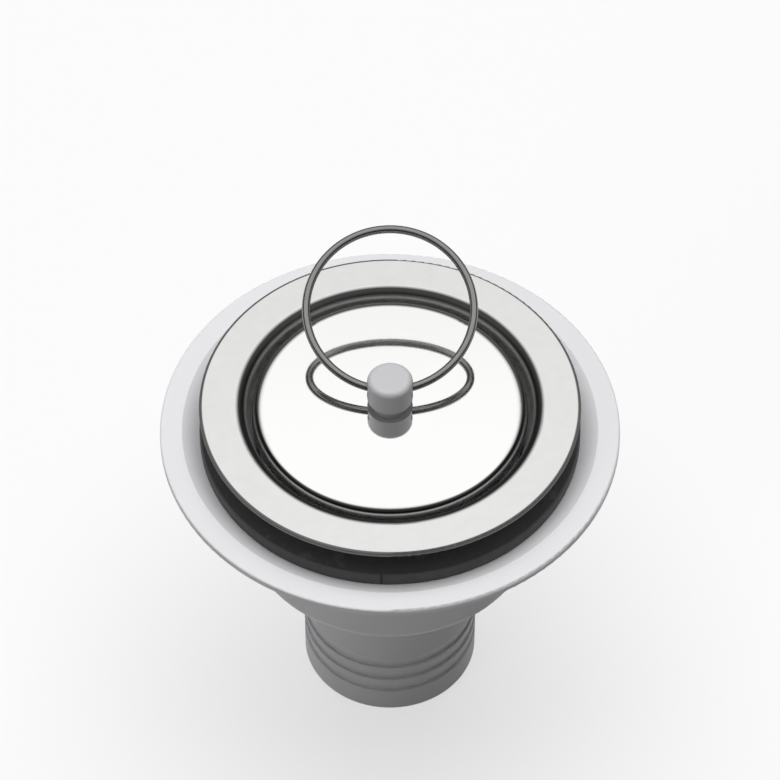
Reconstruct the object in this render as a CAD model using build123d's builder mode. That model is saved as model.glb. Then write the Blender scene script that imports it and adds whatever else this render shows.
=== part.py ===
"""Sink waste with a lift-out plug, a pressed strainer, a gasket and a plastic body with a hose tail.

Millimetres, +Z up. The origin is on the axis, in the plane of the strainer flange's underside,
which is the face that clamps down on the sink. Y points away from the side that is seen first.
The waste is assembled and closed: the screw is home and the plug sits in the strainer.
"""
from build123d import *
import os
from math import cos, hypot, radians, sin, sqrt

# Strainer, pressed from one sheet
sheet = 0.8
mouth_radius = 22.4
flange_width = 5.15
shoulder_radius = 1.7
recess_depth = 11.8
wall_draft = 2.3
floor_bend = 1.1
edge_round = 0.35

# Six drain holes in the strainer floor, with their edges pressed down
spoke_count = 6
spoke_width = 5.2
head_land = 3.2
wall_land = 2.0
hole_inner_corner = 2.4
hole_outer_corner = 1.3
lip_depth = 1.2
lip_round = 1.0

# Clamp screw, a pan head with a cross recess
screw_radius = 2.5
screw_pitch = 0.8
screw_length = 20.0
screw_hole_gap = 0.3
head_radius = 5.25
head_side = 1.3
head_dome = 1.1
cross_span = 5.6
cross_width = 1.4
cross_depth = 1.7
cross_angle = 52.0

# Rubber gasket, a wedge in section
gasket_overhang = 0.1
gasket_bore_gap = 0.6
gasket_lip = 0.6
gasket_land = 0.5
gasket_fall = 4.2
gasket_edge = 1.9
gasket_round = 0.5
gasket_seat_gap = 0.02

# Body flange and the conical seat for the gasket
seat_margin = 2.55
seat_depth = 5.5
rim_width = 3.2
rim_edge = 1.3
rim_round = 0.35
body_wall = 2.0

# Bowl under the seat
bowl_inset = 0.95
bowl_draft = 1.35
bowl_depth = 23.5
bowl_edge_round = 0.8
bowl_round = 2.5

# Hub on ribs, with a threaded insert moulded in
hub_drop = 11.6
hub_wall = 3.1
hub_round = 0.5
counterbore_radius = 4.35
counterbore_depth = 2.0
hub_hole_gap = 0.47
insert_cover_top = 4.4
insert_cover_bottom = 1.2
insert_wall = 1.5
insert_gap = 0.05
insert_groove = 0.4
screw_reach = 1.6
rib_count = 3
rib_width = 1.7
rib_drop = 1.6
rib_round = 0.6
rib_angle = 65.0

# Hose tail with gripping ridges
tail_radius = 13.15
tail_wall = 2.45
tail_length = 29.8
tail_chamfer = 0.7
ridge_count = 3
ridge_from_end = 5.0
ridge_spacing = 3.05
ridge_depth = 0.35
ridge_length = 2.4

# Plug: a turned-down steel cap over a tapered seal
cap_gap = 0.7
cap_sheet = 0.5
cap_side = 2.6
cap_round = 1.8
cap_crown = 0.3
plug_height = 7.5
seal_inset = 0.25
seal_taper = 0.55
seal_wall = 2.2
seal_web = 2.0
seal_round = 0.6
seat_gap = 0.15
fit_gap = 0.02

# Knob that holds the plug together and carries the ring
knob_radius = 3.3
knob_head = 4.25
knob_round = 0.9
neck_inset = 0.85
neck_height = 1.0
stem_radius = 1.5
snap_ledge = 0.8
snap_height = 1.2
snap_chamfer = 0.6

# Pull ring, bent from round wire
wire = 1.2
ring_diameter = 25.5
ring_gap = 0.08
ring_hole_floor = 0.4
ring_lean = 23.5

# Strainer wall, from the end of the shoulder bend down to the floor bend
strainer_radius = mouth_radius + flange_width
strainer_top = sheet
floor_top = strainer_top - recess_depth
floor_under = floor_top - sheet
under_bend = shoulder_radius - sheet
wall_top_radius = mouth_radius - shoulder_radius
wall_top = strainer_top - shoulder_radius
floor_radius = wall_top_radius - wall_draft
wall_slope = wall_draft / (wall_top - floor_top)
hole_inner_radius = head_radius + head_land
hole_outer_radius = floor_radius - wall_land

# A hole's inner corners leave a little of its arc, and its outer corners leave some straight side
spoke_half = spoke_width / 2
hole_half_sine = sin(radians(180 / spoke_count))
widest_inner_corner = (hole_inner_radius * hole_half_sine - spoke_half) / (1 - hole_half_sine)
inner_corner = min(hole_inner_corner, 0.95 * widest_inner_corner)
inner_corner_end = hole_inner_radius**2 + 2 * inner_corner * (hole_inner_radius - spoke_half)
widest_outer_corner = (hole_outer_radius**2 - inner_corner_end) / (2 * (hole_outer_radius + spoke_half))
outer_corner = min(hole_outer_corner, 0.95 * widest_outer_corner)

# The gasket fits round the strainer's wall, and its underside lies on the body's seat
gasket_radius = strainer_radius + gasket_overhang
gasket_bore_radius = mouth_radius - under_bend + gasket_bore_gap
gasket_outer_bottom = -gasket_fall - gasket_edge
rim_inner_radius = gasket_radius + seat_margin
flange_radius = rim_inner_radius + rim_width
bowl_edge_radius = gasket_bore_radius - bowl_inset
bowl_floor_radius = bowl_edge_radius - bowl_draft
seat_slope = seat_depth / (rim_inner_radius - bowl_edge_radius)
flange_top = gasket_outer_bottom - gasket_seat_gap + seat_slope * seat_margin
gasket_inner_bottom = gasket_outer_bottom - seat_slope * (gasket_radius - gasket_bore_radius)
bowl_under = flange_top - bowl_depth
bowl_floor = bowl_under + body_wall
tail_end = bowl_under - tail_length
tail_bore_radius = tail_radius - tail_wall

# The insert and the hub reach as far down as the screw needs
hub_top = flange_top - hub_drop
rib_top = hub_top - rib_drop
insert_radius = screw_radius + insert_wall
insert_top = hub_top - insert_cover_top
insert_bottom = floor_top - screw_length + screw_reach
hub_bottom = insert_bottom - insert_cover_bottom
hub_radius = insert_radius + hub_wall

# The plug sinks until its lower edge meets the strainer wall
cap_radius = wall_top_radius - cap_gap
seal_top_radius = cap_radius - seal_inset
seal_bottom_radius = seal_top_radius - seal_taper
plug_bottom = wall_top - (wall_top_radius - seal_bottom_radius - seat_gap) / wall_slope
plug_rim = plug_bottom + plug_height
plug_top = plug_rim + cap_crown
cap_edge = plug_rim - cap_side
seal_top = plug_rim - cap_sheet

# The ring's hole clears the wire where it curves away at the knob's sides
ring_radius = (ring_diameter - wire) / 2
ring_rise = ring_radius - sqrt(ring_radius**2 - knob_radius**2)
ring_hole_radius = wire / 2 + ring_rise + ring_gap
pivot_height = plug_top + neck_height + ring_hole_floor + ring_hole_radius
ring_direction = Vector(0, cos(radians(ring_lean)), sin(radians(ring_lean)))

os.makedirs("parts", exist_ok=True)


def save(part, name):
    """Label a finished piece and write it as one STEP file."""
    part.label = name
    export_step(part, f"parts/{name}.step")


def outer_circle(part, height):
    """The widest round edge of a part at that height."""
    circles = part.edges().filter_by(GeomType.CIRCLE)
    return circles.filter_by(lambda e: abs(e.center().Z - height) < 0.01).sort_by(SortBy.RADIUS)[-1]


# Body, moulded in one piece: flange, gasket seat, bowl, hub on ribs and hose tail
seat_edge = flange_top - seat_depth
under_slope_top = flange_top - rim_edge
bowl_outer_radius = bowl_edge_radius + body_wall
under_slope_bottom = seat_edge - body_wall
bowl_foot_radius = bowl_floor_radius + body_wall
with BuildPart() as waste_body:
    with BuildSketch(Plane.XZ):
        with BuildLine():
            Polyline(
                (rim_inner_radius, flange_top),
                (flange_radius, flange_top),
                (flange_radius, under_slope_top),
                (rim_inner_radius + body_wall / 2, under_slope_top),
                (bowl_outer_radius, under_slope_bottom),
                (bowl_foot_radius, bowl_under),
                (tail_radius, bowl_under),
                (tail_radius, tail_end),
                (tail_bore_radius, tail_end),
                (tail_bore_radius, bowl_floor),
                (bowl_floor_radius, bowl_floor),
                (bowl_edge_radius, seat_edge),
                (rim_inner_radius, flange_top),
            )
        make_face()
    revolve(axis=Axis.Z)
    fillet(outer_circle(waste_body, seat_edge), radius=bowl_edge_round)

    # The hub hangs in the bowl's outlet, and its ribs reach into the bowl's wall
    with BuildSketch(Plane.XY.offset(hub_bottom)):
        Circle(hub_radius)
    extrude(amount=hub_top - hub_bottom)
    with BuildSketch(Plane.XY.offset(bowl_floor)):
        with PolarLocations(0, rib_count, start_angle=rib_angle):
            Rectangle(bowl_floor_radius + body_wall / 2, rib_width, align=(Align.MIN, Align.CENTER))
    extrude(amount=rib_top - bowl_floor)
    rib_edges = waste_body.edges().filter_by(GeomType.LINE).filter_by_position(
        Axis.Z, rib_top - 0.01, rib_top + 0.01
    )
    fillet(rib_edges, radius=rib_round)

    # Hole for the screw, and the pocket that is filled by the insert
    with BuildSketch(Plane.XY.offset(hub_top)):
        Circle(counterbore_radius)
    extrude(amount=-counterbore_depth, mode=Mode.SUBTRACT)
    with BuildSketch(Plane.XY.offset(hub_top)):
        Circle(screw_radius + hub_hole_gap)
    extrude(amount=hub_bottom - hub_top, mode=Mode.SUBTRACT)
    with BuildSketch(Plane.XY.offset(insert_top)):
        Circle(insert_radius)
    extrude(amount=insert_bottom - insert_top, mode=Mode.SUBTRACT)

    # Ridges that hold the hose: a cut above each one leaves its ledge standing
    with BuildSketch(Plane.XZ):
        for ridge in range(ridge_count):
            ledge = tail_end + ridge_from_end + ridge * ridge_spacing
            with BuildLine():
                Polyline(
                    (tail_radius - ridge_depth, ledge),
                    (tail_radius + ridge_depth, ledge),
                    (tail_radius + ridge_depth, ledge + 2 * ridge_length),
                    close=True,
                )
            make_face()
    revolve(axis=Axis.Z, mode=Mode.SUBTRACT)

    fillet(outer_circle(waste_body, bowl_under), radius=bowl_round)
    fillet(outer_circle(waste_body, hub_top), radius=hub_round)
    fillet(outer_circle(waste_body, flange_top), radius=rim_round)
    fillet(outer_circle(waste_body, under_slope_top), radius=rim_round)
    chamfer(outer_circle(waste_body, tail_end), length=tail_chamfer)
save(waste_body.part, "waste_body")

# Threaded insert, moulded into the hub: two collars with a groove between them
with BuildPart() as threaded_insert:
    insert_length = insert_top - insert_bottom
    with BuildSketch(Plane.XZ):
        with BuildLine():
            Polyline(
                (screw_radius + insert_gap, insert_top),
                (insert_radius, insert_top),
                (insert_radius, insert_top - insert_length / 3),
                (insert_radius - insert_groove, insert_top - insert_length / 3),
                (insert_radius - insert_groove, insert_bottom + insert_length / 3),
                (insert_radius, insert_bottom + insert_length / 3),
                (insert_radius, insert_bottom),
                (screw_radius + insert_gap, insert_bottom),
                close=True,
            )
        make_face()
    revolve(axis=Axis.Z)
save(threaded_insert.part, "threaded_insert")

# Gasket: flat land on top, a cone that falls outwards, and an underside that follows the seat
with BuildPart() as gasket:
    with BuildSketch(Plane.XZ) as gasket_section:
        with BuildLine():
            Polyline(
                (gasket_bore_radius + gasket_lip, 0),
                (gasket_bore_radius + gasket_lip + gasket_land, 0),
                (gasket_radius, -gasket_fall),
                (gasket_radius, gasket_outer_bottom),
                (gasket_bore_radius, gasket_inner_bottom),
                (gasket_bore_radius, -gasket_lip),
                close=True,
            )
        make_face()
        outer_corners = gasket_section.vertices().group_by(Axis.X)[-1]
        fillet(outer_corners, radius=gasket_round)
    revolve(axis=Axis.Z)
save(gasket.part, "gasket")

# Strainer: flange, rounded shoulder, conical recess and a floor with six lipped holes
with BuildPart() as strainer:
    with BuildSketch(Plane.XZ) as strainer_section:
        with BuildLine():
            top_line = Line((strainer_radius, strainer_top), (mouth_radius, strainer_top))
            bend_top = CenterArc((mouth_radius, wall_top), shoulder_radius, 90, 90)
            wall_line = Line(bend_top @ 1, (floor_radius, floor_top))
            floor_line = Line(wall_line @ 1, (0, floor_top))
            axis_line = Line(floor_line @ 1, (0, floor_under))
            under_line = Line(axis_line @ 1, (floor_radius + sheet, floor_under))
            outer_line = Line(under_line @ 1, (mouth_radius - under_bend, wall_top))
            bend_under = CenterArc((mouth_radius, wall_top), under_bend, 180, -90)
            face_line = Line(bend_under @ 1, (strainer_radius, 0))
            Line(face_line @ 1, top_line @ 0)
        make_face()
        rim_corners = strainer_section.vertices().group_by(Axis.X)[-1]
        fillet(rim_corners, radius=edge_round)
    revolve(axis=Axis.Z)
    fillet(outer_circle(strainer, floor_top), radius=floor_bend)
    fillet(outer_circle(strainer, floor_under), radius=floor_bend + sheet)

    # The holes are what a ring leaves between the spokes, with rounded corners
    with BuildSketch(Plane.XY.offset(floor_top)) as hole_outline:
        Circle(hole_outer_radius)
        Circle(hole_inner_radius, mode=Mode.SUBTRACT)
        with PolarLocations(0, spoke_count, start_angle=180 / spoke_count):
            Rectangle(strainer_radius, spoke_width, align=(Align.MIN, Align.CENTER), mode=Mode.SUBTRACT)
        middle_radius = (hole_inner_radius + hole_outer_radius) / 2
        inner_corners = hole_outline.vertices().filter_by(lambda v: hypot(v.X, v.Y) < middle_radius)
        fillet(inner_corners, radius=inner_corner)
        outer_corners = hole_outline.vertices().filter_by(lambda v: hypot(v.X, v.Y) > middle_radius)
        fillet(outer_corners, radius=outer_corner)
    with BuildSketch(Plane.XY.offset(floor_under)) as lip_outline:
        add(hole_outline.sketch.moved(Location((0, 0, -sheet))))
        offset(amount=sheet)
    extrude(amount=-lip_depth)
    extrude(hole_outline.sketch, amount=-(sheet + lip_depth), mode=Mode.SUBTRACT)
    hole_edges = strainer.edges().filter_by(lambda e: not e.is_closed).filter_by_position(
        Axis.Z, floor_top - 0.01, floor_top + 0.01
    )
    fillet(hole_edges, radius=lip_round)
    with BuildSketch(Plane.XY.offset(floor_top)):
        Circle(screw_radius + screw_hole_gap)
    extrude(amount=-sheet, mode=Mode.SUBTRACT)
save(strainer.part, "strainer")

# Clamp screw: shank, domed pan head and the cross recess
with BuildPart() as clamp_screw:
    dome_radius = (head_radius**2 + head_dome**2) / (2 * head_dome)
    side_top = floor_top + head_side
    head_top = side_top + head_dome
    with BuildSketch(Plane.XZ):
        with BuildLine():
            dome = ThreePointArc(
                (0, head_top),
                (head_radius / 2, head_top - dome_radius + sqrt(dome_radius**2 - head_radius**2 / 4)),
                (head_radius, side_top),
            )
            Polyline(
                dome @ 1,
                (head_radius, floor_top),
                (screw_radius, floor_top),
                (screw_radius, floor_top - screw_length),
                (0, floor_top - screw_length),
                dome @ 0,
            )
        make_face()
    revolve(axis=Axis.Z)
    screw_tip = clamp_screw.faces().sort_by(Axis.Z)[0]
    chamfer(screw_tip.edges(), length=screw_pitch)
    with BuildSketch(Plane.XY.offset(head_top)):
        with PolarLocations(0, 2, start_angle=cross_angle, angular_range=180):
            SlotOverall(cross_span, cross_width)
    extrude(amount=-cross_depth, taper=4, mode=Mode.SUBTRACT)
save(clamp_screw.part, "clamp_screw")

# Plug seal: a cup turned upside down, tapered to wedge in the strainer
with BuildPart() as plug_seal:
    cup_radius = cap_radius - cap_sheet - fit_gap
    with BuildSketch(Plane.XZ) as seal_section:
        with BuildLine():
            Polyline(
                (0, seal_top - fit_gap),
                (cup_radius, seal_top - fit_gap),
                (cup_radius, cap_edge - fit_gap),
                (seal_top_radius, cap_edge - fit_gap),
                (seal_bottom_radius, plug_bottom),
                (seal_bottom_radius - seal_wall, plug_bottom),
                (cup_radius - seal_wall, seal_top - seal_web),
                (0, seal_top - seal_web),
                close=True,
            )
        make_face()
        cup_corner = seal_section.vertices().group_by(Axis.Y)[-1].sort_by(Axis.X)[-1]
        fillet(cup_corner, radius=cap_round - cap_sheet)
        foot_corners = seal_section.vertices().group_by(Axis.Y)[0]
        fillet(foot_corners, radius=seal_round)
    revolve(axis=Axis.Z)
    with BuildSketch(Plane.XY.offset(seal_top)):
        Circle(stem_radius + fit_gap)
    extrude(amount=-(seal_web + fit_gap), mode=Mode.SUBTRACT)
save(plug_seal.part, "plug_seal")

# Plug cap: polished disc, slightly crowned, with a rounded edge turned down over the seal
crown_radius = (cap_radius**2 + cap_crown**2) / (2 * cap_crown)
crown_centre = plug_top - crown_radius


def crown_height(radius, depth=0.0):
    """Height of the crowned face at that radius, or of a face that lies under it by depth."""
    return crown_centre + sqrt((crown_radius - depth)**2 - radius**2)


with BuildPart() as plug_cap:
    cap_hole_radius = stem_radius + fit_gap
    cap_inner_radius = cap_radius - cap_sheet
    half_radius = cap_radius / 2
    with BuildSketch(Plane.XZ) as cap_section:
        with BuildLine():
            top_arc = ThreePointArc(
                (cap_hole_radius, crown_height(cap_hole_radius)),
                (half_radius, crown_height(half_radius)),
                (cap_radius, crown_height(cap_radius)),
            )
            under_arc = ThreePointArc(
                (cap_inner_radius, crown_height(cap_inner_radius, cap_sheet)),
                (half_radius, crown_height(half_radius, cap_sheet)),
                (cap_hole_radius, crown_height(cap_hole_radius, cap_sheet)),
            )
            Polyline(top_arc @ 1, (cap_radius, cap_edge), (cap_inner_radius, cap_edge), under_arc @ 0)
            Line(under_arc @ 1, top_arc @ 0)
        make_face()
        fillet(cap_section.vertices().sort_by(lambda v: v.Y + v.X)[-1], radius=cap_round)
        inner_corners = cap_section.vertices().filter_by(lambda v: abs(v.X - cap_inner_radius) < 0.01)
        fillet(inner_corners.sort_by(Axis.Y)[-1], radius=cap_round - cap_sheet)
    revolve(axis=Axis.Z)
save(plug_cap.part, "plug_cap")

# Knob: head with a cross hole, neck, and a stem that snaps in under the seal
with BuildPart() as plug_knob:
    knob_top = plug_top + neck_height + knob_head
    snap_top = seal_top - seal_web - fit_gap
    neck_radius = knob_radius - neck_inset
    snap_radius = stem_radius + snap_ledge
    with BuildSketch(Plane.XZ) as knob_section:
        with BuildLine():
            Polyline(
                (0, knob_top),
                (knob_radius, knob_top),
                (knob_radius, knob_top - knob_head),
                (neck_radius, knob_top - knob_head),
                (neck_radius, plug_top),
                (stem_radius, plug_top),
                (stem_radius, snap_top),
                (snap_radius, snap_top),
                (snap_radius, snap_top - snap_height),
                (0, snap_top - snap_height),
                close=True,
            )
        make_face()
        head_corner = knob_section.vertices().group_by(Axis.Y)[-1].sort_by(Axis.X)[-1]
        fillet(head_corner, radius=knob_round)
        snap_corner = knob_section.vertices().group_by(Axis.Y)[0].sort_by(Axis.X)[-1]
        chamfer(snap_corner, length=snap_chamfer)
    revolve(axis=Axis.Z)
    with BuildSketch(Plane.YZ.offset(-knob_radius)):
        with Locations((0, pivot_height)):
            Circle(ring_hole_radius)
    extrude(amount=2 * knob_radius, mode=Mode.SUBTRACT)
save(plug_knob.part, "plug_knob")

# Pull ring, leaning back with its wire through the knob
ring_centre = Vector(0, 0, pivot_height) + ring_direction * ring_radius
ring_plane = Plane(
    origin=ring_centre,
    x_dir=(1, 0, 0),
    z_dir=(0, -ring_direction.Z, ring_direction.Y),
)
with BuildPart(ring_plane) as pull_ring:
    Torus(ring_radius, wire / 2)
save(pull_ring.part, "pull_ring")

print("plug top", round(plug_top, 3), "ring pivot", round(pivot_height, 3), "tail end", round(tail_end, 3))
print("screw thread", round(floor_top - screw_length, 3), "in insert", round(insert_bottom, 3))
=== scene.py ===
import math

import bmesh
import bpy
from mathutils import Matrix, Vector


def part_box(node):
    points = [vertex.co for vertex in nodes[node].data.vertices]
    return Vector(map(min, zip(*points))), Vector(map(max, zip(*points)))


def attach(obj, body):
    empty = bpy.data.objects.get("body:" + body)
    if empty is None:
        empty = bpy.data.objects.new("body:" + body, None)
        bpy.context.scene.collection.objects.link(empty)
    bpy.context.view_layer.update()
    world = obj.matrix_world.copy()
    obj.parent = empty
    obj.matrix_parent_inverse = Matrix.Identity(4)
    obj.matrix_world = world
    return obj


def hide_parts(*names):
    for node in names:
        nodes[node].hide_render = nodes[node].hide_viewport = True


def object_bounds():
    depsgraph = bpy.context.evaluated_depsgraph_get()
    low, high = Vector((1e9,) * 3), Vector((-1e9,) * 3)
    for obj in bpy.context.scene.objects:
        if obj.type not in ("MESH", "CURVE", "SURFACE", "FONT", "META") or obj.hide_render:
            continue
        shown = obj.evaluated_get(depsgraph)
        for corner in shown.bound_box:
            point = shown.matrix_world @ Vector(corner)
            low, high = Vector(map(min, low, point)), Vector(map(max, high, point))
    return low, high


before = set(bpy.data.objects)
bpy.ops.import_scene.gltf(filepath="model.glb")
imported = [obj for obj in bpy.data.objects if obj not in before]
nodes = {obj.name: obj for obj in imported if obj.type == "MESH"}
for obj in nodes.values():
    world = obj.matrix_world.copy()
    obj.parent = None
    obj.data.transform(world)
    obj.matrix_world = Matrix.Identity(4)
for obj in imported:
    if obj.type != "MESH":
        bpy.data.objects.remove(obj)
cad_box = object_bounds()

# Body, one moulding: flange, gasket seat, bowl, hub on three ribs and hose tail.
# White polypropylene, injection moulded, so it is satin with a very fine grain from the mould,
# and it lets a little light into its thin edges.
MM = 0.001


def linear(hex_colour):
    """An sRGB hex colour as the linear red, green, blue and alpha that a shader takes."""
    channels = [int(hex_colour[i:i + 2], 16) / 255 for i in (1, 3, 5)]
    return [c / 12.92 if c <= 0.04045 else ((c + 0.055) / 1.055) ** 2.4 for c in channels] + [1.0]


def add_node(tree, kind, sockets=None, **settings):
    """A node with its settings; each socket is given a value, or the output that is linked into it."""
    node = tree.nodes.new(kind)
    for name, setting in settings.items():
        setattr(node, name, setting)
    for socket, given in (sockets or {}).items():
        if isinstance(given, bpy.types.NodeSocket):
            tree.links.new(given, node.inputs[socket])
        else:
            node.inputs[socket].default_value = given
    return node


def start_material(name, metallic, colour):
    """A new material of one colour: its node tree, its shader and the place on the piece."""
    material = bpy.data.materials.new(name)
    material.use_nodes = True
    tree = material.node_tree
    tree.nodes.clear()
    shader = add_node(
        tree, "ShaderNodeBsdfPrincipled", {"Metallic": metallic, "Base Color": linear(colour)},
    )
    add_node(tree, "ShaderNodeOutputMaterial", {"Surface": shader.outputs[0]})
    place = add_node(tree, "ShaderNodeTexCoord").outputs["Object"]
    return material, tree, shader, place


def finish(tree, shader, wear, roughness, relief, depth_mm, strength):
    """Roughness that follows the wear over its range, and relief of that depth; both are returned."""
    smoothest, roughest = roughness
    worn = add_node(
        tree, "ShaderNodeMapRange",
        {"Value": wear, "From Min": 0.3, "From Max": 0.7, "To Min": smoothest, "To Max": roughest},
    ).outputs["Result"]
    embossed = add_node(
        tree, "ShaderNodeBump", {"Height": relief, "Strength": strength, "Distance": depth_mm * MM},
    ).outputs["Normal"]
    tree.links.new(worn, shader.inputs["Roughness"])
    tree.links.new(embossed, shader.inputs["Normal"])
    return worn, embossed


def dress(name, material):
    """Gives a piece from the frame its material."""
    nodes[name].data.materials.clear()
    nodes[name].data.materials.append(material)


def moulded_plastic(name, colour, roughness, grain_mm):
    """Satin polypropylene or acetal with the mould's fine grain."""
    material, tree, shader, place = start_material(name, 0.0, colour)
    shader.inputs["IOR"].default_value = 1.49
    shader.inputs["Subsurface Weight"].default_value = 0.08
    shader.inputs["Subsurface Radius"].default_value = (1.0, 1.0, 1.0)
    shader.inputs["Subsurface Scale"].default_value = 0.5 * MM
    dull_patches = add_node(
        tree, "ShaderNodeTexNoise", {"Vector": place, "Scale": 1 / (9.0 * MM)},
    ).outputs["Fac"]
    mould_grain = add_node(
        tree, "ShaderNodeTexNoise", {"Vector": place, "Scale": 1 / (grain_mm * MM), "Detail": 3.0},
    ).outputs["Fac"]
    finish(tree, shader, dull_patches, (roughness - 0.05, roughness + 0.06), mould_grain, 0.012, 0.6)
    return material


white_polypropylene = moulded_plastic("white_polypropylene", "#DDDDDF", 0.42, 0.35)
dress("waste_body", white_polypropylene)

# Threaded insert, moulded into the hub.
# Turned steel left dark by its oil, so it shows only as a dull ring at the bottom of the hub's hole.
oiled_steel, tree, shader, place = start_material("oiled_turned_steel", 1.0, "#4A4A49")
wave_spacing = 0.32  # how far apart a wave texture's bands are at scale 1
turning = add_node(
    tree, "ShaderNodeTexWave",
    {"Vector": place, "Scale": wave_spacing / (0.416 * MM), "Distortion": 0.4},
    bands_direction="Z",
).outputs["Fac"]
finish(tree, shader, turning, (0.35, 0.5), turning, 0.02, 0.5)
dress("threaded_insert", oiled_steel)

# Gasket, a wedge ring of black nitrile rubber, moulded and trimmed.
# It is matte and a little dusty, its upright rim is painted a lighter grey, and it is marked with fine
# pale scuffs.
nitrile, tree, shader, place = start_material("black_nitrile_rubber", 0.0, "#262626")
shader.inputs["IOR"].default_value = 1.52


def patch(tree, *fades):
    """A mask, full where all its fades are: each is a measure, where it is still 0 and where it is 1."""
    mask = 1.0
    for measure, outside, inside in fades:
        fade = add_node(
            tree, "ShaderNodeMapRange", {"Value": measure, "From Min": outside, "From Max": inside},
        ).outputs["Result"]
        mask = add_node(tree, "ShaderNodeMath", {0: fade, 1: mask}, operation="MULTIPLY").outputs[0]
    return mask


def paint(tree, shader, *coats):
    """Covers the shader's own colour with each coat in turn: its hex colour and the mask where it lies."""
    colour = shader.inputs["Base Color"].default_value[:]
    for coat, where in coats:
        colour = add_node(
            tree, "ShaderNodeMix", {"Factor": where, "A": colour, "B": linear(coat)}, data_type="RGBA",
        ).outputs["Result"]
    tree.links.new(colour, shader.inputs["Base Color"])


def axis_distance(tree, place):
    """How far a place is from the part's upright axis."""
    across = add_node(
        tree, "ShaderNodeVectorMath", {0: place, 1: (1.0, 1.0, 0.0)}, operation="MULTIPLY",
    ).outputs["Vector"]
    return add_node(tree, "ShaderNodeVectorMath", {0: across}, operation="LENGTH").outputs["Value"]


gasket_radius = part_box("gasket")[1][0]
radius = axis_distance(tree, place)
rightward, backward = add_node(tree, "ShaderNodeSeparateXYZ", {"Vector": place}).outputs[:2]
scuffs = add_node(
    tree, "ShaderNodeTexNoise", {"Vector": place, "Scale": 1 / (2.2 * MM), "Detail": 6.0},
).outputs["Fac"]
specks = add_node(
    tree, "ShaderNodeTexNoise", {"Vector": place, "Scale": 1 / (0.5 * MM), "Detail": 4.0},
).outputs["Fac"]
nick_place = -1.2 * MM
nick_half_width = 0.1 * MM
nick_fade = 0.1 * MM
upright_rim = (radius, gasket_radius - 0.30 * MM, gasket_radius - 0.08 * MM)
front_nick = patch(
    tree, upright_rim,
    (rightward, nick_place - nick_half_width - nick_fade, nick_place - nick_half_width),
    (rightward, nick_place + nick_half_width + nick_fade, nick_place + nick_half_width),
    (backward, -0.9 * gasket_radius, -0.95 * gasket_radius),
)
# The upright rim is painted a lighter grey; the scuffs, specks and nick are the rubber's own marks.
paint(
    tree, shader,
    ("#3B3B3B", patch(tree, (scuffs, 0.60, 0.72))),
    ("#4C4C4C", patch(tree, upright_rim)),
    ("#6A6A6A", patch(tree, (specks, 0.745, 0.775))),
    ("#0C0C0C", front_nick),
)
finish(tree, shader, scuffs, (0.48, 0.66), specks, 0.03, 0.7)
dress("gasket", nitrile)

# Strainer, pressed and pierced from stainless sheet, its hole edges pushed down into lips.
# The flange is left satin from the rolled sheet and the floor is polished by the press tool. The
# bends, where the sheet was drawn round the tool, and the cut rim are painted with a dark line, a painted
# dark reflection; the lip walls are painted a little darker as shade, and the cut rim is also left rough.
sheet = 0.8 * MM
lip_depth = 1.2 * MM
floor_edge = 17.5 * MM
wall_foot = 18.1 * MM
wall_head = 21.4 * MM
shoulder_start = 21.0 * MM
shoulder_end = 22.1 * MM
strainer_low, strainer_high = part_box("strainer")
floor_top = strainer_low[2] + sheet + lip_depth
rim_radius = strainer_high[0]
pressed_steel, tree, shader, place = start_material("pressed_stainless_steel", 1.0, "#E9E9E8")
radius = axis_distance(tree, place)
level = add_node(tree, "ShaderNodeSeparateXYZ", {"Vector": place}).outputs["Z"]
in_holes = (radius, floor_edge + 0.10 * MM, floor_edge - 0.10 * MM)
lip_bend_dark_reflection = patch(
    tree, in_holes,
    (level, floor_top - 0.03 * MM, floor_top - 0.10 * MM),
    (level, floor_top - 0.66 * MM, floor_top - 0.50 * MM),
)
lip_wall_shade = patch(tree, in_holes, (level, floor_top - 0.50 * MM, floor_top - 0.66 * MM))
foot_bend_dark_reflection = patch(
    tree,
    (radius, floor_edge - 0.10 * MM, floor_edge + 0.10 * MM),
    (radius, wall_foot + 0.10 * MM, wall_foot - 0.10 * MM),
    (level, floor_top + 1.2 * MM, floor_top + 0.8 * MM),
)
on_wall = patch(
    tree,
    (radius, wall_foot, wall_foot + 0.6 * MM),
    (radius, wall_head, wall_head - 0.4 * MM),
)
shoulder_dark_reflection = patch(
    tree,
    (radius, shoulder_start - 0.15 * MM, shoulder_start + 0.15 * MM),
    (radius, shoulder_end + 0.25 * MM, shoulder_end - 0.25 * MM),
    (level, -3.2 * MM, -2.2 * MM),
)
on_flange = patch(tree, (radius, shoulder_start - 0.2 * MM, shoulder_start + 0.2 * MM))
rim_dark_reflection_and_rough = patch(tree, (radius, rim_radius - 0.50 * MM, rim_radius - 0.38 * MM))
mottle = add_node(
    tree, "ShaderNodeTexNoise", {"Vector": place, "Scale": 1 / (1.6 * MM), "Detail": 3.0},
).outputs["Fac"]
rolling = add_node(
    tree, "ShaderNodeTexNoise", {"Vector": place, "Scale": 1 / (0.6 * MM), "Detail": 3.0},
).outputs["Fac"]
# Painted dark reflection on the lip bends, foot bend, shoulder and cut rim, and painted shade on the lip
# walls; the mottle is the sheet's own tone.
paint(
    tree, shader,
    ("#F2F2F1", mottle),
    ("#EEEEED", on_wall),
    ("#D4D4D3", lip_wall_shade),
    ("#444443", lip_bend_dark_reflection),
    ("#3A3A39", foot_bend_dark_reflection),
    ("#484847", shoulder_dark_reflection),
    ("#80807F", rim_dark_reflection_and_rough),
)
roughness, rolled = finish(tree, shader, mottle, (0.09, 0.15), rolling, 0.003, 0.5)
for where, dull in ((on_wall, 0.5), (on_flange, 0.36), (rim_dark_reflection_and_rough, 0.6)):
    roughness = add_node(
        tree, "ShaderNodeMix", {"Factor": where, "A": roughness, "B": dull}, data_type="FLOAT",
    ).outputs["Result"]
tree.links.new(roughness, shader.inputs["Roughness"])

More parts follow.
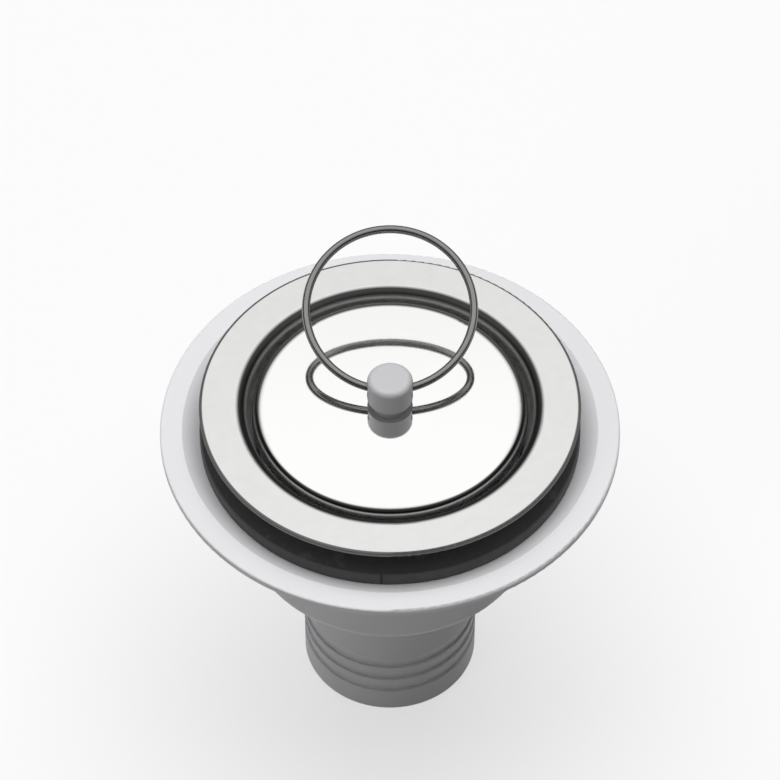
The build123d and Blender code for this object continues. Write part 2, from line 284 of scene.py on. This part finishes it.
# The punch leaves streaks down the recess wall, about 1.5 mm apart round it and long up it
drawn_long = add_node(
    tree, "ShaderNodeMapping", {"Vector": place, "Scale": (1.0, 1.0, 12.0)}, vector_type="TEXTURE",
).outputs["Vector"]
streaks = add_node(
    tree, "ShaderNodeTexNoise", {"Vector": drawn_long, "Scale": 1 / (1.5 * MM), "Detail": 3.0},
).outputs["Fac"]
wall_streaks = add_node(tree, "ShaderNodeMath", {0: on_wall, 1: streaks}, operation="MULTIPLY").outputs[0]
streaked = add_node(
    tree, "ShaderNodeBump",
    {"Height": wall_streaks, "Strength": 0.5, "Distance": 0.06 * MM, "Normal": rolled},
).outputs["Normal"]
tree.links.new(streaked, shader.inputs["Normal"])
dress("strainer", pressed_steel)

# Clamp screw, M5 by 20, with a rolled thread of 0.8 mm pitch and a pan head with a cross recess.
# Stainless, headed and rolled cold, so its head is softly dimpled and its edges are rounded off;
# the recess is painted near black as shade, and the head's side and the thread are painted darker grey as
# shade.
screw_low, screw_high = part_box("clamp_screw")
head_radius = (screw_high[0] - screw_low[0]) / 2
shank_length = 20 * MM
head_foot = screw_low[2] + shank_length
head_side = 1.3 * MM
head_dome = screw_high[2] - head_foot - head_side
dome_radius = (head_radius**2 + head_dome**2) / (2 * head_dome)
head_edge = 0.18 * MM
crest_radius = 2.5 * MM
root_radius = 2.02 * MM
tip_radius = 1.75 * MM
run_out = 0.9 * MM
pitch = 0.8 * MM
crest_flat = 0.16
root_flat = 0.12
around = 64


def thread_radius(height, turn):
    """The shank's radius at that height above its tip, after that part of a turn round it."""
    along = (height / pitch - turn) % 1.0
    from_crest = abs(along - 0.5) * 2
    flank = min(max((1 - root_flat - from_crest) / (1 - root_flat - crest_flat), 0.0), 1.0)
    cut = root_radius + (crest_radius - root_radius) * flank
    point = tip_radius + height
    under_head = root_radius + max(0.0, height - shank_length + run_out)
    return max(min(cut, point), min(under_head, crest_radius))


def screw_rows():
    """Each ring of the screw from tip to crown: its height, and its radius at each step round."""
    steps = 240
    for row in range(steps + 1):
        height = shank_length * row / steps
        radii = [thread_radius(height, step / around) for step in range(around)]
        yield screw_low[2] + height, radii
    under_edge = head_foot + head_edge
    upper_edge = head_foot + head_side - head_edge * 0.6
    for middle, angles in ((under_edge, range(-90, 1, 15)), (upper_edge, range(0, 61, 15))):
        for angle in angles:
            bend = math.radians(angle)
            ring_radius = head_radius - head_edge + head_edge * math.cos(bend)
            yield middle + head_edge * math.sin(bend), [ring_radius] * around
    centre = screw_high[2] - dome_radius
    rings = 14
    for ring in range(1, rings):
        ring_radius = (head_radius - head_edge * 0.9) * (1 - ring / rings)
        yield centre + math.sqrt(dome_radius**2 - ring_radius**2), [ring_radius] * around


screw_mesh = bmesh.new()
rows = []
for height, radii in screw_rows():
    rows.append([
        screw_mesh.verts.new((
            radii[step] * math.cos(2 * math.pi * step / around),
            radii[step] * math.sin(2 * math.pi * step / around),
            height,
        ))
        for step in range(around)
    ])
for lower, upper in zip(rows, rows[1:]):
    for step in range(around):
        after = (step + 1) % around
        screw_mesh.faces.new((lower[step], lower[after], upper[after], upper[step]))
screw_mesh.faces.new(list(reversed(rows[0])))
crown = screw_mesh.verts.new((0, 0, screw_high[2]))
for step in range(around):
    screw_mesh.faces.new((rows[-1][step], rows[-1][(step + 1) % around], crown))


def mesh_piece(name, mesh, sharp_degrees):
    """A piece made from a mesh, smooth apart from its sharp edges."""
    data = bpy.data.meshes.new(name)
    mesh.normal_update()
    mesh.to_mesh(data)
    mesh.free()
    piece = bpy.data.objects.new(name, data)
    bpy.context.collection.objects.link(piece)
    data.shade_smooth()
    data.set_sharp_from_angle(angle=math.radians(sharp_degrees))
    return piece


def cross_wing(angle_degrees):
    """The cutter for one arm of the cross recess, right across the head and narrower below."""
    wing = bmesh.new()
    bmesh.ops.create_cube(wing, size=2.0)
    recess_depth = 1.9 * MM
    for vert in wing.verts:
        is_top = vert.co.z > 0
        half_span = (2.95 if is_top else 1.15) * MM
        half_width = (0.74 if is_top else 0.42) * MM
        vert.co.x *= half_span
        vert.co.y *= half_width
        vert.co.z = screw_high[2] + (0.2 * MM if is_top else -recess_depth)
    turn = Matrix.Rotation(math.radians(angle_degrees), 3, "Z")
    bmesh.ops.rotate(wing, verts=wing.verts, matrix=turn)
    return mesh_piece("cross_wing", wing, 30)


screw_piece = mesh_piece("clamp_screw_threaded", screw_mesh, 40)
for angle_degrees in (52.0, 142.0):
    cutter = cross_wing(angle_degrees)
    cut = screw_piece.modifiers.new("cross", "BOOLEAN")
    cut.operation = "DIFFERENCE"
    cut.solver = "EXACT"
    cut.object = cutter
    evaluated = screw_piece.evaluated_get(bpy.context.evaluated_depsgraph_get())
    cut_mesh = bpy.data.meshes.new_from_object(evaluated)
    screw_piece.modifiers.clear()
    screw_piece.data = cut_mesh
    bpy.data.objects.remove(cutter)
screw_piece.data.set_sharp_from_angle(angle=math.radians(40))

screw_steel, tree, shader, place = start_material("rolled_screw_steel", 1.0, "#F4F4F2")
radius = axis_distance(tree, place)
level = add_node(tree, "ShaderNodeSeparateXYZ", {"Vector": place}).outputs["Z"]
squared = add_node(tree, "ShaderNodeMath", {0: radius, 1: radius}, operation="MULTIPLY").outputs[0]
dome_fall = add_node(
    tree, "ShaderNodeMath", {0: squared, 1: 1 / (2 * dome_radius)}, operation="MULTIPLY",
).outputs[0]
under_crown = add_node(
    tree, "ShaderNodeMath", {0: screw_high[2], 1: level}, operation="SUBTRACT",
).outputs[0]
depth = add_node(tree, "ShaderNodeMath", {0: under_crown, 1: dome_fall}, operation="SUBTRACT").outputs[0]
recess_painted_shade = patch(tree, (radius, 3.3 * MM, 3.1 * MM), (depth, 0.10 * MM, 0.30 * MM))
side_top = head_foot + head_side
side_painted_shade = patch(tree, (level, side_top + 0.05 * MM, side_top - 0.15 * MM))
dimples = add_node(
    tree, "ShaderNodeTexNoise", {"Vector": place, "Scale": 1 / (0.6 * MM), "Detail": 3.0},
).outputs["Fac"]
# Painted shade: the head's side and the thread below it darker grey, the cross recess near black; the
# dimples are the head's own tone.
paint(
    tree, shader,
    ("#E0E0DE", dimples),
    ("#7E7E7C", side_painted_shade),
    ("#2E2E2D", recess_painted_shade),
)
finish(tree, shader, dimples, (0.2, 0.32), dimples, 0.010, 0.6)
screw_piece.data.materials.clear()
screw_piece.data.materials.append(screw_steel)
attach(screw_piece, "screw")
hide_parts("clamp_screw")

# Plug seal, the tapered cup under the cap.
# Pale grey polypropylene, moulded, slightly duller than the body.
grey_polypropylene = moulded_plastic("grey_polypropylene", "#EFEFF1", 0.5, 0.3)
dress("plug_seal", grey_polypropylene)

# Plug cap, a disc of stainless drawn over the seal and buffed to a mirror on its face.
# Fine haze from the buffing wheel keeps the reflections a little soft; the turned-down edge is
# left as it was drawn, rougher and with fine lines round it, and painted greyer for its dimmer reflection,
# with a painted dark reflection along its bend and painted shade along its foot.
mirror_steel, tree, shader, place = start_material("buffed_stainless_steel", 1.0, "#F1F1F0")
cap_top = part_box("plug_cap")[1][2]
level = add_node(tree, "ShaderNodeSeparateXYZ", {"Vector": place}).outputs["Z"]
cap_bend_dark_reflection = patch(
    tree,
    (level, cap_top - 0.50 * MM, cap_top - 0.62 * MM),
    (level, cap_top - 1.15 * MM, cap_top - 0.95 * MM),
)
drawn_edge_and_painted_grey = patch(tree, (level, cap_top - 0.85 * MM, cap_top - 1.45 * MM))
edge_foot_shade = patch(tree, (level, cap_top - 2.62 * MM, cap_top - 2.80 * MM))
# Painted reflection and shade: the edge painted grey, a dark line at the bend, and a dark line at the foot
# where the cap meets the flange.
paint(tree, shader, ("#9A9A99", drawn_edge_and_painted_grey), ("#5A5A59", cap_bend_dark_reflection), ("#565655", edge_foot_shade))
haze = add_node(
    tree, "ShaderNodeTexNoise", {"Vector": place, "Scale": 1 / (6.0 * MM), "Detail": 5.0},
).outputs["Fac"]
ripples = add_node(tree, "ShaderNodeTexNoise", {"Vector": place, "Scale": 1 / (3.0 * MM)}).outputs["Fac"]
buffed = finish(tree, shader, haze, (0.035, 0.07), ripples, 0.004, 0.4)[0]
drawn_lines = add_node(
    tree, "ShaderNodeTexWave",
    {
        "Vector": place, "Scale": wave_spacing / (0.45 * MM),
        "Distortion": 1.5, "Detail": 3.0, "Detail Scale": 0.4,
    },
    bands_direction="Z",
).outputs["Fac"]
as_drawn = add_node(
    tree, "ShaderNodeMapRange",
    {"Value": drawn_lines, "From Min": 0.3, "From Max": 0.7, "To Min": 0.22, "To Max": 0.36},
).outputs["Result"]
roughness = add_node(
    tree, "ShaderNodeMix", {"Factor": drawn_edge_and_painted_grey, "A": buffed, "B": as_drawn}, data_type="FLOAT",
).outputs["Result"]
tree.links.new(roughness, shader.inputs["Roughness"])
dress("plug_cap", mirror_steel)

# Knob, one moulding with the stem that holds the plug together.
# Pale acetal, smooth and slightly waxy.
pale_acetal = moulded_plastic("pale_acetal", "#BEBEC0", 0.36, 0.25)
dress("plug_knob", pale_acetal)

# Pull ring, drawn spring wire bent to a circle.
# Dark bright-drawn steel with faint lengthwise draw marks.
drawn_wire, tree, shader, place = start_material("drawn_steel_wire", 1.0, "#8E8E8D")
draw_marks = add_node(
    tree, "ShaderNodeTexNoise", {"Vector": place, "Scale": 1 / (0.7 * MM), "Detail": 4.0},
).outputs["Fac"]
finish(tree, shader, draw_marks, (0.18, 0.3), draw_marks, 0.006, 0.5)
dress("pull_ring", drawn_wire)

# Floor that the hose tail stands on, pale and plain.
# The camera and the steel see it almost white with the part's soft shadow on it; for the light
# that it throws back up at the part it is a mid grey.
floor_level = cad_box[0][2]
bpy.ops.mesh.primitive_plane_add(size=4.0, location=(0, 0, floor_level))
floor = bpy.context.object
floor.name = "floor"
pale_floor, tree, shader, place = start_material("pale_floor", 0.0, "#F2F2F2")
shader.inputs["Roughness"].default_value = 0.9
glow = add_node(tree, "ShaderNodeEmission", {"Color": (1, 1, 1, 1), "Strength": 1.0})
seen_white = add_node(tree, "ShaderNodeMixShader", {0: 0.65, 1: shader.outputs[0], 2: glow.outputs[0]})
grey = add_node(tree, "ShaderNodeBsdfDiffuse", {"Color": linear("#5E5E5E")})
path = add_node(tree, "ShaderNodeLightPath").outputs
either = add_node(
    tree, "ShaderNodeMixShader",
    {0: path["Is Diffuse Ray"], 1: seen_white.outputs[0], 2: grey.outputs[0]},
)
tree.links.new(either.outputs[0], tree.nodes["Material Output"].inputs["Surface"])
floor.data.materials.append(pale_floor)

# Studio: one broad soft light overhead, a weak one from the left front, and a pale room.
# Steel sees the room white above and behind the part, and dark low down and behind the camera,
# which gives its edges their dark lines.
world = bpy.data.worlds.new("studio")
bpy.context.scene.world = world
world.use_nodes = True
tree = world.node_tree
tree.nodes.clear()
direction = add_node(tree, "ShaderNodeTexCoord").outputs["Generated"]
toward = add_node(tree, "ShaderNodeSeparateXYZ", {"Vector": direction}).outputs
high_up = add_node(
    tree, "ShaderNodeMapRange",
    {"Value": toward["Z"], "From Min": 0.38, "From Max": 0.80, "To Min": 0.08, "To Max": 1.12},
    interpolation_type="SMOOTHSTEP",
).outputs["Result"]
not_behind_camera = add_node(
    tree, "ShaderNodeMapRange",
    {"Value": toward["Y"], "From Min": -0.75, "From Max": -0.15, "To Min": 0.25, "To Max": 1.0},
    interpolation_type="SMOOTHSTEP",
).outputs["Result"]
room_light = add_node(
    tree, "ShaderNodeMath", {0: high_up, 1: not_behind_camera}, operation="MULTIPLY",
).outputs[0]
path = add_node(tree, "ShaderNodeLightPath").outputs
fill = add_node(tree, "ShaderNodeBackground", {"Color": (1, 1, 1, 1), "Strength": 0.07})
room = add_node(tree, "ShaderNodeBackground", {"Color": room_light})
white = add_node(tree, "ShaderNodeBackground", {"Color": (1, 1, 1, 1), "Strength": 1.0})
seen_plainly = add_node(
    tree, "ShaderNodeMath",
    {0: path["Is Camera Ray"], 1: path["Is Transmission Ray"]},
    operation="MAXIMUM",
).outputs[0]
in_gloss = add_node(
    tree, "ShaderNodeMixShader", {0: path["Is Glossy Ray"], 1: fill.outputs[0], 2: room.outputs[0]},
)
studio = add_node(
    tree, "ShaderNodeMixShader", {0: seen_plainly, 1: in_gloss.outputs[0], 2: white.outputs[0]},
)
add_node(tree, "ShaderNodeOutputWorld", {"Surface": studio.outputs[0]})


def soft_light(name, place, size, power):
    """A square area lamp at a place, facing the part and left out of the steel's reflections."""
    lamp = bpy.data.lights.new(name, "AREA")
    lamp.size = size
    lamp.energy = power
    stand = bpy.data.objects.new(name, lamp)
    stand.location = place
    stand.rotation_euler = (-Vector(place)).to_track_quat("-Z", "Y").to_euler()
    stand.visible_glossy = False
    bpy.context.collection.objects.link(stand)


soft_light("overhead", (0.0, 0.15, 0.9), 1.0, 11.5)
soft_light("left_front", (-0.6, -0.6, 0.3), 0.4, 1.1)

# Camera, looking about 50 degrees down along +Y with a long lens, as the photograph was taken.
lens_mm = 180.0
sensor_mm = 36.0
view_width = 0.112
view_down = math.radians(50.5)
aim = Vector((0, 0, 0.0035))
distance = view_width * lens_mm / sensor_mm
camera_data = bpy.data.cameras.new("camera")
camera_data.lens = lens_mm
camera_data.sensor_width = sensor_mm
camera = bpy.data.objects.new("camera", camera_data)
camera.location = aim + Vector((0, -math.cos(view_down), math.sin(view_down))) * distance
camera.rotation_euler = (math.pi / 2 - view_down, 0, 0)
bpy.context.collection.objects.link(camera)
bpy.context.scene.camera = camera
bpy.context.scene.view_settings.view_transform = "Standard"
